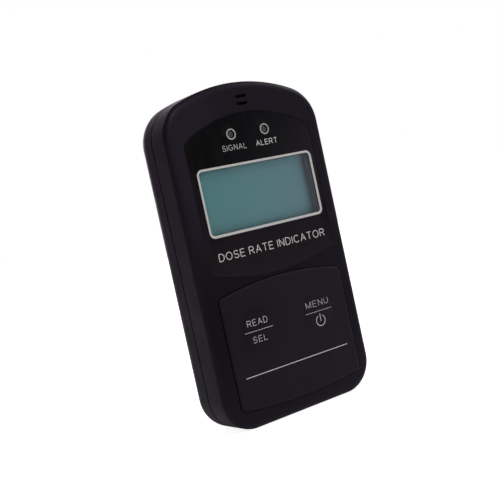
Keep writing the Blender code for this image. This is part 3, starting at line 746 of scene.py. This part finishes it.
# ---- case ----
def skin_loops(made, rim, face, fillet, inset, seam_round, steps):
    """Loops of one skin of a shell, from the parting line to the flat face."""
    sign = 1 if face > rim else -1
    places = [(inset, rim)]
    if seam_round:
        places = [(inset + seam_round * (1 - math.sin(a)), rim + sign * seam_round * (1 - math.cos(a)))
                  for a in quarter(3)]
    places += [(inset + fillet * (1 - math.cos(a)), face - sign * fillet * (1 - math.sin(a)))
               for a in quarter(steps)]
    return [made.loop(case_outline(inwards), level) for inwards, level in places]


def sunk(made, outline, face, floor, edge=HOLE_EDGE, steps=3):
    """The wall of a hole from the face down to a floor, with its rim rounded over."""
    sign = 1 if floor > face else -1
    loops = [made.loop(outline(edge * (1 - math.sin(a))), face + sign * edge * (1 - math.cos(a)))
             for a in quarter(steps)]
    loops.append(made.loop(outline(0.0), floor))
    made.wall(loops)
    return loops[0], loops[-1]


def front_shell():
    """The front half: pockets for the window and the keypad, wells through them, and the slots."""
    made = Body()
    outer = skin_loops(made, FRONT_RIM_Y, FACE_Y, FRONT_FILLET, 0.0, SEAM_ROUND, 14)
    inner = skin_loops(made, FRONT_RIM_Y, FRONT_INNER_Y, FRONT_INNER_FILLET, WALL, 0.0, 4)
    made.wall(outer)
    made.wall(inner)
    lip = [made.loop(case_outline(inset), level) for inset, level in
           ((LIP_OUTER_INSET, FRONT_RIM_Y), (LIP_OUTER_INSET, LIP_Y),
            (LIP_INNER_INSET, LIP_Y), (LIP_INNER_INSET, FRONT_RIM_Y))]
    made.wall([outer[0], *lip, inner[0]])
    window_top, window_floor = sunk(made, lambda g: window_outline(POCKET_GAP + g), FACE_Y, FLOOR_Y)
    keypad_top, keypad_floor = sunk(made, lambda g: keypad_outline(POCKET_GAP + g), FACE_Y, FLOOR_Y)
    vents = [sunk(made, lambda g, z=z: vent_outline(z, g), FACE_Y, FRONT_INNER_Y, VENT_EDGE)
             for z in VENT_ZS]
    made.fill(outer[-1], [window_top, keypad_top] + [top for top, bottom in vents])
    wells = [made.tunnel(points, FLOOR_Y, FRONT_INNER_Y) for points in
             [view_outline(VIEW_WELL)] + [circle(x, LED_Z, LAMP_WELL_RADIUS) for x in (-LED_X, LED_X)]]
    made.fill(window_floor, [near for near, far in wells])
    keys = [made.tunnel(circle(x, BUTTON_Z, BUTTON_RADIUS + BUTTON_WELL), FLOOR_Y, FRONT_INNER_Y)
            for x in (-BUTTON_X, BUTTON_X)]
    made.fill(keypad_floor, [near for near, far in keys])
    made.fill(inner[-1], [far for near, far in vents + wells + keys])
    made.finish("front_shell_skin", "case", "front_shell")


def screw_axis(name):
    """Where a case screw stands, and its box."""
    low, high = cad(name)
    return (low.x + high.x) / 2, (low.z + high.z) / 2, low, high


def rear_shell():
    """The back half: the door's opening and a well for each case screw."""
    made = Body()
    outer = skin_loops(made, REAR_RIM_Y, BACK_Y, REAR_FILLET, 0.0, SEAM_ROUND, 20)
    inner = skin_loops(made, REAR_RIM_Y, REAR_INNER_Y, REAR_FILLET - WALL, WALL, 0.0, 8)
    made.wall(outer)
    made.wall(inner)
    made.wall([outer[0], inner[0]])
    door_mid = (DOOR_HIGH.z + DOOR_SILL_Z) / 2
    door_half = (DOOR_HIGH.z - DOOR_SILL_Z) / 2

    def door_hole(grow):
        return rectangle(DOOR_HIGH.x + POCKET_GAP + grow, door_half + POCKET_GAP + grow, 0, door_mid,
                         DOOR_CORNER + grow)
    top, bottom = sunk(made, door_hole, BACK_Y, REAR_INNER_Y)
    holes = [top]
    for name in CASE_SCREW_NAMES:
        x, z, *_ = screw_axis(name)
        rim, floor = sunk(made, lambda g, x=x, z=z: circle(x, z, SCREW_WELL_RADIUS + g), BACK_Y,
                          SCREW_WELL_FLOOR_Y, SCREW_WELL_EDGE)
        holes.append(rim)
        made.cap(floor)
    made.fill(outer[-1], holes)
    made.fill(inner[-1], [bottom])
    made.finish("rear_shell_skin", "case", "rear_shell")


def case_screws():
    """Black pan-head screws: a domed head with a cross recess, sitting in its counterbore."""
    for name in CASE_SCREW_NAMES:
        x, z, low, high = screw_axis(name)
        radius, seat, top = (high.x - low.x) / 2, SCREW_SEAT_Y, high.y
        dome_root = seat + 0.3
        profile = [(0.4, low.y), (SCREW_SHANK, low.y + 0.6), (SCREW_SHANK, seat), (radius - 0.1, seat),
                   (radius, seat + 0.1)]
        for a in quarter(7)[:-1]:
            profile.append((radius * math.cos(a) ** 0.6, dome_root + (top - dome_root) * math.sin(a)))
        profile.append((radius * 0.22, top))
        head = turned(name + "_head", x, z, profile, "case", name)
        cross_recess(head, x, z, top, radius)


def cross_recess(head, x, z, top, radius):
    """Cut a tapered cross into a screw head."""
    made = Body()
    arm, half = radius * 0.58, radius * 0.13
    plus = [(half, -arm), (half, -half), (arm, -half), (arm, half), (half, half), (half, arm),
            (-half, arm), (-half, half), (-arm, half), (-arm, -half), (-half, -half), (-half, -arm)]
    high = made.loop([(x + a * 1.1, z + b * 1.1) for a, b in plus], top + 0.4)
    low = made.loop([(x + a * 0.72, z + b * 0.72) for a, b in plus], top - 0.75)
    made.solid([low, high])
    tool = add_object("cross", mesh_from(made.bm, "cross"))
    cut = head.modifiers.new("cross", "BOOLEAN")
    cut.object = tool
    cut.solver = "EXACT"
    keep_shape(head)
    bpy.data.objects.remove(tool, do_unlink=True)
    shade(head, 30)


def battery_door():
    """The door as in the frame, with its tongues, thumb notch and grips, and every edge rounded over."""
    mesh = frame["nodes"]["battery_door"].data.copy()
    mesh.materials.clear()
    door = place_piece("battery_door_skin", mesh, "door", "battery_door", smooth=None)
    edges = door.modifiers.new("edges", "BEVEL")
    edges.width = DOOR_EDGE * MM
    edges.segments = 3
    edges.limit_method = "ANGLE"
    edges.angle_limit = math.radians(40)
    keep_shape(door)
    shade(door, 35)


def battery_cell():
    """A small cell: crimped ends, a shrink wrap and a button at its positive end."""
    made = Body()
    centre_y = (CELL_LOW.y + CELL_HIGH.y) / 2
    radius = (CELL_HIGH.x - CELL_LOW.x) / 2
    low, high = CELL_LOW.z, CELL_HIGH.z - 0.8
    profile = [(3.0, low + 0.2), (3.5, low), (radius - 0.7, low), (radius - 0.3, low + 0.12),
               (radius, low + 0.45), (radius, high - 0.45), (radius - 0.1, high - 0.2), (radius - 0.4, high),
               (radius - 1.0, high), (radius - 1.2, high - 0.2), (2.0, high - 0.2), (1.9, high + 0.5),
               (1.7, high + 0.72), (1.3, CELL_HIGH.z)]
    loops = [[made.bm.verts.new(Vector((x, y, level)) * MM) for x, y in circle(0, centre_y, at, 64)]
             for at, level in profile]
    made.solid(loops)
    made.finish("battery_cell_body", "case", "battery_cell", smooth=40)


# ---- window, display and lamps ----
def rounded_plate(made, outline, holes, front, back, edge):
    """A flat plate with its front edge rounded over, and holes with a slight rounding."""
    side = [made.loop(outline(0.0), back)]
    for a in quarter(3):
        side.append(made.loop(outline(-edge * (1 - math.cos(a))), front + edge * (1 - math.sin(a))))
    made.wall(side)
    close_plate(made, side, holes, front, back)


def close_plate(made, side, holes, front, back):
    """The two faces of a plate with holes, between the first and the last loop of its side."""
    rims = [sunk(made, hole, front, back, PLATE_HOLE_EDGE, 2) for hole in holes]
    made.fill(side[-1], [near for near, far in rims])
    made.fill(side[0], [far for near, far in rims])


def display_window():
    """The glossy plate with its display and lamp openings, and the clear pane, whose rim is grey."""
    made = Body()
    holes = [view_outline]
    holes += [lambda g, x=x: circle(x, LED_Z, LAMP_HOLE + g) for x in (-LED_X, LED_X)]
    rounded_plate(made, lambda g: window_outline(WINDOW_GROW + g), holes, WINDOW_FRONT_Y, WINDOW_BACK_Y,
                  WINDOW_EDGE)
    made.finish("display_window_plate", "case", "display_window")
    lens = Body()
    rounded_plate(lens, lambda g: view_outline(g - PANE_GAP), [], WINDOW_FRONT_Y, WINDOW_BACK_Y, PANE_EDGE)
    pane = lens.finish("display_lens_pane", "case", "display_lens")
    pane.data.materials.append(FINISH["frame_grey"])
    for face in pane.data.polygons:
        if abs(face.normal.y) < 0.3:
            face.material_index = 1


def lamps():
    """Each lamp is a round epoxy nose behind the window, with its flange against the board."""
    for name, x, look in (("status_led", -LED_X, "status_epoxy"), ("alarm_led", LED_X, "alarm_epoxy")):
        root = cad(name)[1].y
        step = root - LAMP_FLANGE_DEPTH
        profile = [(LAMP_FLANGE_RADIUS, root), (LAMP_FLANGE_RADIUS, step), (LAMP_BODY_RADIUS, step),
                   (LAMP_BODY_RADIUS, LAMP_BODY_Y), (LAMP_RADIUS, LAMP_NOSE_Y),
                   (LAMP_RADIUS, LAMP_SHOULDER_Y)]
        for a in quarter(9)[1:-1]:
            level = LAMP_SHOULDER_Y + (LAMP_TIP_Y - LAMP_SHOULDER_Y) * math.sin(a)
            profile.append((LAMP_RADIUS * math.cos(a), level))
        profile.append((0.05, LAMP_TIP_Y))
        turned(name + "_lens", x, LED_Z, profile, "case", name, look, 40, 50)


# ---- printed marks ----
def flat_print(name, loops, ink):
    """A thin layer of ink on the window: the first loop is its edge and the others are its holes."""
    made = Body()
    walls = [made.tunnel(points, WINDOW_FRONT_Y, WINDOW_FRONT_Y - PRINT_THICKNESS) for points in loops]
    backs, fronts = zip(*walls)
    made.fill(fronts[0], fronts[1:])
    made.fill(backs[0], backs[1:])
    made.finish(name, "case", look=ink, smooth=None)


def display_prints():
    """The border round the display, a little to the right of it, and a ring round each lamp."""
    border = [[(x + right, z + up) for x, z in view_outline(grow)]
              for grow, right, up in (BORDER_OUTER, BORDER_INNER)]
    flat_print("display_border_print", border, "legend_ink")
    for name, x in (("status_ring_print", -LED_X), ("alarm_ring_print", LED_X)):
        rings = [circle(x, LED_Z, radius) for radius in RING_RADII]
        flat_print(name, rings, "ring_ink")


# Each letter is its width and its strokes, for a cap height of 1.
LETTERS = {
    " ": (0.08, []),
    "A": (0.72, [[(0, 0), (0.36, 1), (0.72, 0)], [(0.13, 0.34), (0.59, 0.34)]]),
    "C": (0.72, [oval(0.38, 0.5, 0.38, 0.5, 42, 318)]),
    "D": (0.68, [[(0, 0), (0, 1), (0.26, 1)] + oval(0.26, 0.5, 0.42, 0.5, 90, -90) + [(0, 0)]]),
    "E": (0.58, [[(0.58, 1), (0, 1), (0, 0), (0.58, 0)], [(0, 0.52), (0.53, 0.52)]]),
    "G": (0.78, [oval(0.39, 0.5, 0.39, 0.5, 42, 326) + [(0.76, 0.46), (0.44, 0.46)]]),
    "I": (0.0, [[(0, 0), (0, 1)]]),
    "L": (0.52, [[(0, 1), (0, 0), (0.52, 0)]]),
    "M": (0.74, [[(0, 0), (0, 1), (0.37, 0.04), (0.74, 1), (0.74, 0)]]),
    "N": (0.64, [[(0, 0), (0, 1), (0.64, 0), (0.64, 1)]]),
    "O": (0.80, [oval(0.40, 0.5, 0.40, 0.5, 90, 450, 24)]),
    "R": (0.66, [[(0, 0), (0, 1), (0.38, 1)] + oval(0.38, 0.74, 0.24, 0.26, 90, -90) + [(0, 0.48)],
                 [(0.34, 0.48), (0.66, 0)]]),
    "S": (0.62, [oval(0.31, 0.74, 0.28, 0.26, 20, 250) + oval(0.31, 0.26, 0.31, 0.26, 70, -160)]),
    "T": (0.64, [[(0, 1), (0.64, 1)], [(0.32, 1), (0.32, 0)]]),
    "U": (0.64, [[(0, 1), (0, 0.32)] + oval(0.32, 0.32, 0.32, 0.32, 180, 360) + [(0.64, 1)]]),
}


def resampled(path, longest=0.5):
    """A path with points added so that no step is longer than longest."""
    out = [Vector(path[0])]
    for a, b in zip(path, path[1:]):
        a, b = Vector(a), Vector(b)
        parts = max(1, math.ceil((b - a).length / longest))
        out += [a.lerp(b, (i + 1) / parts) for i in range(parts)]
    return out


def stroke_shapes(path, half):
    """The boxes and the joint discs that make a path as thick as a pen."""
    shapes = []
    points = resampled(path)
    for a, b in zip(points, points[1:]):
        side = Vector((a.y - b.y, b.x - a.x)).normalized() * half
        shapes.append([a - side, b - side, b + side, a + side])
    for point in points[1:-1]:
        shapes.append([Vector(p) for p in circle(point.x, point.y, half, 10)])
    return shapes


def merged(shapes):
    """Triangles that cover the shapes, without overlap: their points and their corners."""
    found = delaunay_2d_cdt(*joined(shapes), [], 0, 1e-4)
    boxes = [(min(p[0] for p in s), max(p[0] for p in s), min(p[1] for p in s), max(p[1] for p in s))
             for s in shapes]
    kept = []
    for face in found[2]:
        middle = sum((found[0][i] for i in face), Vector((0, 0))) / len(face)
        for shape, (left, right, low, high) in zip(shapes, boxes):
            near = left <= middle.x <= right and low <= middle.y <= high
            if near and inside(middle, shape):
                kept.append(tuple(face))
                break
    return found[0], kept


def printed(name, groups, surface, body):
    """A thin layer of ink over groups of shapes, laid on a surface."""
    bm = bmesh.new()
    for shapes in groups:
        points, faces = merged(shapes)
        used = sorted({i for face in faces for i in face})
        top, base = {}, {}
        for i in used:
            x, z = points[i].x, points[i].y
            y = surface(x, z)
            top[i] = bm.verts.new(Vector((x, y - PRINT_THICKNESS, z)) * MM)
            base[i] = bm.verts.new(Vector((x, y + PRINT_DEPTH, z)) * MM)
        sides = {pair: None for face in faces for pair in zip(face, face[1:] + face[:1])}
        for face in faces:
            bm.faces.new([top[i] for i in face])
            bm.faces.new([base[i] for i in reversed(face)])
        for i, j in sides:
            if (j, i) not in sides:
                bm.faces.new((base[i], base[j], top[j], top[i]))
    place_piece(name, mesh_from(bm, name), body, look="legend_ink", smooth=None)


def lettering(name, words, cx, cz, cap_height, width, stroke, track, surface, body):
    """Thin drawn capitals centred on a point and spread to a width."""
    half = stroke / 2
    tall = cap_height - stroke
    natural = sum(LETTERS[c][0] for c in words) + track * (len(words) - 1)
    across = (width - stroke) / natural
    at = cx - (width - stroke) / 2
    groups = []
    for c in words:
        advance, strokes = LETTERS[c]
        shapes = []
        for path in strokes:
            shapes += stroke_shapes([(at + x * across, cz + (z - 0.5) * tall) for x, z in path], half)
        if shapes:
            groups.append(shapes)
        at += (advance + track) * across
    printed(name, groups, surface, body)


def window_lettering():
    """Each row is a name, its words, their centre, cap height and width, the pen and the spacing."""
    for name, words, *layout in (
            ("status_legend_print", "SIGNAL", -LED_X + 0.22, 73.5, 1.55, 7.8, 0.13, 0.30),
            ("alarm_legend_print", "ALERT", LED_X - 0.15, 73.5, 1.55, 7.2, 0.20, 0.30),
            ("title_print", "DOSE RATE INDICATOR", 0.4, 45.95, 2.15, 35.7, 0.235, 0.30)):
        lettering(name, words, *layout, flat_at(WINDOW_FRONT_Y), "case")


# ---- keypad ----
def flat_at(y):
    """The level of a flat surface, as a function of place."""
    return lambda x, z: y


def dome(centre_x):
    """The level of a button's crowned surface, as a function of place."""
    def surface(x, z):
        share = min(1.0, math.hypot(x - centre_x, z - BUTTON_Z) / BUTTON_RADIUS)
        return KEYPAD_FRONT_Y - DOME_HEIGHT * (1 - share ** 2) ** 0.8
    return surface


def keypad_panel():
    """A moulded rubber panel with a soft shoulder down to the case, and a hole for each button."""
    made = Body()
    low, high = KEYPAD_LOW - KEYPAD_MARGIN_LOW, KEYPAD_HIGH + KEYPAD_MARGIN_HIGH

    places = [(0.0, KEYPAD_BACK_Y), (0.0, SHOULDER_Y)]
    places += [(-SHOULDER_WIDTH * (1 - math.cos(a)),
                SHOULDER_Y - (SHOULDER_Y - KEYPAD_FRONT_Y) * math.sin(a)) for a in quarter(8)[1:]]
    side = [made.loop(keypad_outline(grow, low, high), y) for grow, y in places]
    made.wall(side)
    holes = [lambda g, x=x: circle(x, BUTTON_Z, BUTTON_RADIUS + KEY_GAP + g, 96)
             for x in (-BUTTON_X, BUTTON_X)]
    close_plate(made, side, holes, KEYPAD_FRONT_Y, KEYPAD_BACK_Y)
    made.finish("keypad_panel_skin", "case", "keypad_panel")


def button(node, body, x):
    """A crowned round key with a flange behind the panel."""
    surface = dome(x)
    flange = BUTTON_RADIUS + BUTTON_FLANGE
    profile = [(STEM_RADIUS, VIEW_HIGH.y), (STEM_RADIUS, FLOOR_Y + 0.5), (flange, FLOOR_Y + 0.5),
               (flange, FLOOR_Y), (BUTTON_RADIUS, FLOOR_Y), (BUTTON_RADIUS, KEYPAD_FRONT_Y + 0.05)]
    for a in quarter(31)[1:-1]:
        radius = BUTTON_RADIUS * math.cos(a)
        profile.append((radius, surface(x + radius, BUTTON_Z)))
    turned(node + "_cap", x, BUTTON_Z, profile, body, node, None, 96, 40)


def line_print(name, cx, cz, half_length, thickness, surface, body):
    """A straight printed line that follows a surface."""
    path = [(cx - half_length, cz), (cx + half_length, cz)]
    printed(name, [stroke_shapes(path, thickness / 2)], surface, body)


def power_mark(cx, cz, surface, body):
    """The standard open ring and bar of a power key."""
    open_ring = arc(cx, cz, POWER_RADIUS, 90 + POWER_OPENING, 450 - POWER_OPENING, 40)
    ring = stroke_shapes(open_ring, POWER_PEN)
    bar = stroke_shapes([(cx, cz - 0.2), (cx, cz + 1.85)], POWER_PEN)
    printed("power_mark_print", [ring, bar], surface, body)


def keypad_prints():
    left, right = dome(-BUTTON_X), dome(BUTTON_X)
    line_print("view_line_print", -BUTTON_X - 0.25, BUTTON_Z - 0.05, KEY_LINE, 0.12, left, "view_key")
    line_print("mode_line_print", BUTTON_X - 0.2, BUTTON_Z - 0.05, KEY_LINE, 0.10, right, "mode_key")
    line_print("keypad_line_print", 0.0, 13.8, 17.5, 0.22, flat_at(KEYPAD_FRONT_Y), "case")
    for name, words, x, above, width, stroke, surface, body in (
            ("view_upper_print", "READ", -BUTTON_X - 0.3, 2.2, 6.6, 0.135, left, "view_key"),
            ("view_lower_print", "SEL", -BUTTON_X - 0.5, -2.3, 4.6, 0.13, left, "view_key"),
            ("mode_upper_print", "MENU", BUTTON_X - 0.2, 2.2, 7.8, 0.105, right, "mode_key")):
        lettering(name, words, x, BUTTON_Z + above, 1.7, width, stroke, 0.34, surface, body)
    power_mark(BUTTON_X - 0.15, BUTTON_Z - 2.7, right, "mode_key")


# ---- carried-over CAD nodes ----
def dress_nodes():
    """Give every CAD node the material of its slot."""
    for name, obj in frame["nodes"].items():
        obj.data.materials.clear()
        obj.data.materials.append(FINISH[SLOTS[name]])


# ---- stage ----
CAMERA_PLACE = Vector((-138.12, -205.19, 58.62))
CAMERA_RIGHT = Vector((0.80716, -0.55046, -0.21328))
CAMERA_UP = Vector((0.20651, -0.07516, 0.97555))
CAMERA_LENS = 64.34
CAMERA_SENSOR = 36.0
FLOOR_RADIUS = 6.0  # in metres
FLOOR_DROP = 0.05  # just clear of the case's flat end
FLOOR_GLOW = 0.12
LIGHT_AIM = Vector((0.0, 0.0, 0.045))  # in metres, as are the reach and the sizes
LIGHT_REACH = 1.1
FLAG_DIRECTION = (1.0, 0.0, -0.6)


def grey(value, green=1.0):
    """A grey, or a mauve where its share of green is lowered."""
    return value, value * green, value


WORLD_LEVELS = [(0.0, grey(0.60)), (0.15, grey(0.50)), (0.55, grey(0.06, 0.8)), (0.75, grey(0.10, 0.75)),
                (0.92, grey(0.13, 0.75)), (1.0, grey(0.50, 0.9))]
FLAG_LEVELS = [(at, grey(value)) for at, value in (
    (0.0, 0.80), (0.28, 0.60), (0.35, 0.15), (0.40, 0.27), (0.46, 0.42), (0.50, 0.55),
    (0.55, 0.86), (0.60, 1.27), (0.65, 1.77), (0.69, 1.35), (0.72, 1.06), (0.80, 0.93))]


def camera():
    """The main view: from the face's left, a little above the middle, and rolled."""
    data = bpy.data.cameras.new("camera")
    data.lens = CAMERA_LENS
    data.sensor_width = CAMERA_SENSOR
    obj = add_object("camera", data)
    right, up = CAMERA_RIGHT.normalized(), CAMERA_UP.normalized()
    back = right.cross(up).normalized()
    up = back.cross(right).normalized()
    place = Matrix((right, up, back)).transposed().to_4x4()
    place.translation = CAMERA_PLACE * MM
    obj.matrix_world = place
    bpy.context.scene.camera = obj


def stage_floor():
    """A round pale floor whose brightness for the camera is that of a white studio sweep."""
    bm = bmesh.new()
    bmesh.ops.create_circle(bm, cap_ends=True, segments=96, radius=FLOOR_RADIUS)
    mesh = mesh_from(bm, "floor")
    obj = add_object("floor", mesh)
    obj.location.z = -FLOOR_DROP * MM
    s = Shader("floor_white", (0.80, 0.80, 0.80), 0.9)
    s.set("Specular IOR Level", 0.0)
    s.set("Emission Color", (0.90, 0.90, 0.90, 1))
    seen = s.node("ShaderNodeLightPath").outputs["Is Camera Ray"]
    s.link(s.between(seen, FLOOR_GLOW, 1.0, 0.0, 1.0), s.bsdf.inputs["Emission Strength"])
    mesh.materials.append(s.material)


def world():
    """A white sweep for the camera; its light is bright behind, dim at the sides, flagged off in front."""
    scene_world = bpy.data.worlds.new("world")
    bpy.context.scene.world = scene_world
    w = Nodes(scene_world)
    ways = w.node("ShaderNodeTexCoord").outputs["Generated"]
    depth = w.axis(ways, "Y")
    sweep = w.ramp(w.between(depth, 0.0, 1.0, -1.0, 1.0), WORLD_LEVELS)
    across = w.node("ShaderNodeVectorMath", operation="DOT_PRODUCT")
    across.inputs[1].default_value = FLAG_DIRECTION
    w.link(ways, across.inputs[0])
    flag = w.ramp(w.between(across.outputs["Value"], 0.0, 1.0, 0.3, 0.8), FLAG_LEVELS)
    flagged = w.mix(w.between(depth, 0.0, 1.0, -0.3, -0.6), sweep, flag, "MULTIPLY")
    seen = w.node("ShaderNodeLightPath").outputs["Is Camera Ray"]
    w.link(w.mix(seen, flagged, (1.0, 1.0, 1.0)), w.tree.nodes["Background"].inputs["Color"])


def softbox(name, azimuth, elevation, width, height, watts, colour=(1.0, 1.0, 1.0)):
    """A soft light that faces the object; azimuth runs from +X towards +Y."""
    a, e = math.radians(azimuth), math.radians(elevation)
    direction = Vector((math.cos(a) * math.cos(e), math.sin(a) * math.cos(e), math.sin(e)))
    data = bpy.data.lights.new(name, "AREA")
    data.shape = "ELLIPSE"
    data.size = width
    data.size_y = height
    data.energy = watts
    data.color = colour
    obj = add_object(name, data)
    obj.location = LIGHT_AIM + direction * LIGHT_REACH
    obj.rotation_euler = (-direction).to_track_quat("-Z", "Y").to_euler()


# Each light is its azimuth, elevation, width, height and power, and its colour if it isn't white.
SOFTBOXES = {
    "high_front_left": (243, 62, 0.6, 0.6, 3.8),
    "right_side": (0, 35, 0.55, 0.55, 2.4),
    "back_left": (80, 12, 0.6, 0.7, 2.4, (1.0, 0.93, 1.0)),
    "front_right": (303, 35, 0.5, 0.4, 0.4),
    "behind": (55, 12, 0.8, 0.7, 2.2),
}


bpy.context.scene.view_settings.view_transform = "Standard"
camera()
front_shell()
rear_shell()
case_screws()
battery_door()
battery_cell()
display_window()
lamps()
display_prints()
window_lettering()
keypad_panel()
button("view_button", "view_key", -BUTTON_X)
button("mode_button", "mode_key", BUTTON_X)
keypad_prints()
dress_nodes()
stage_floor()
world()
for name, settings in SOFTBOXES.items():
    softbox(name, *settings)
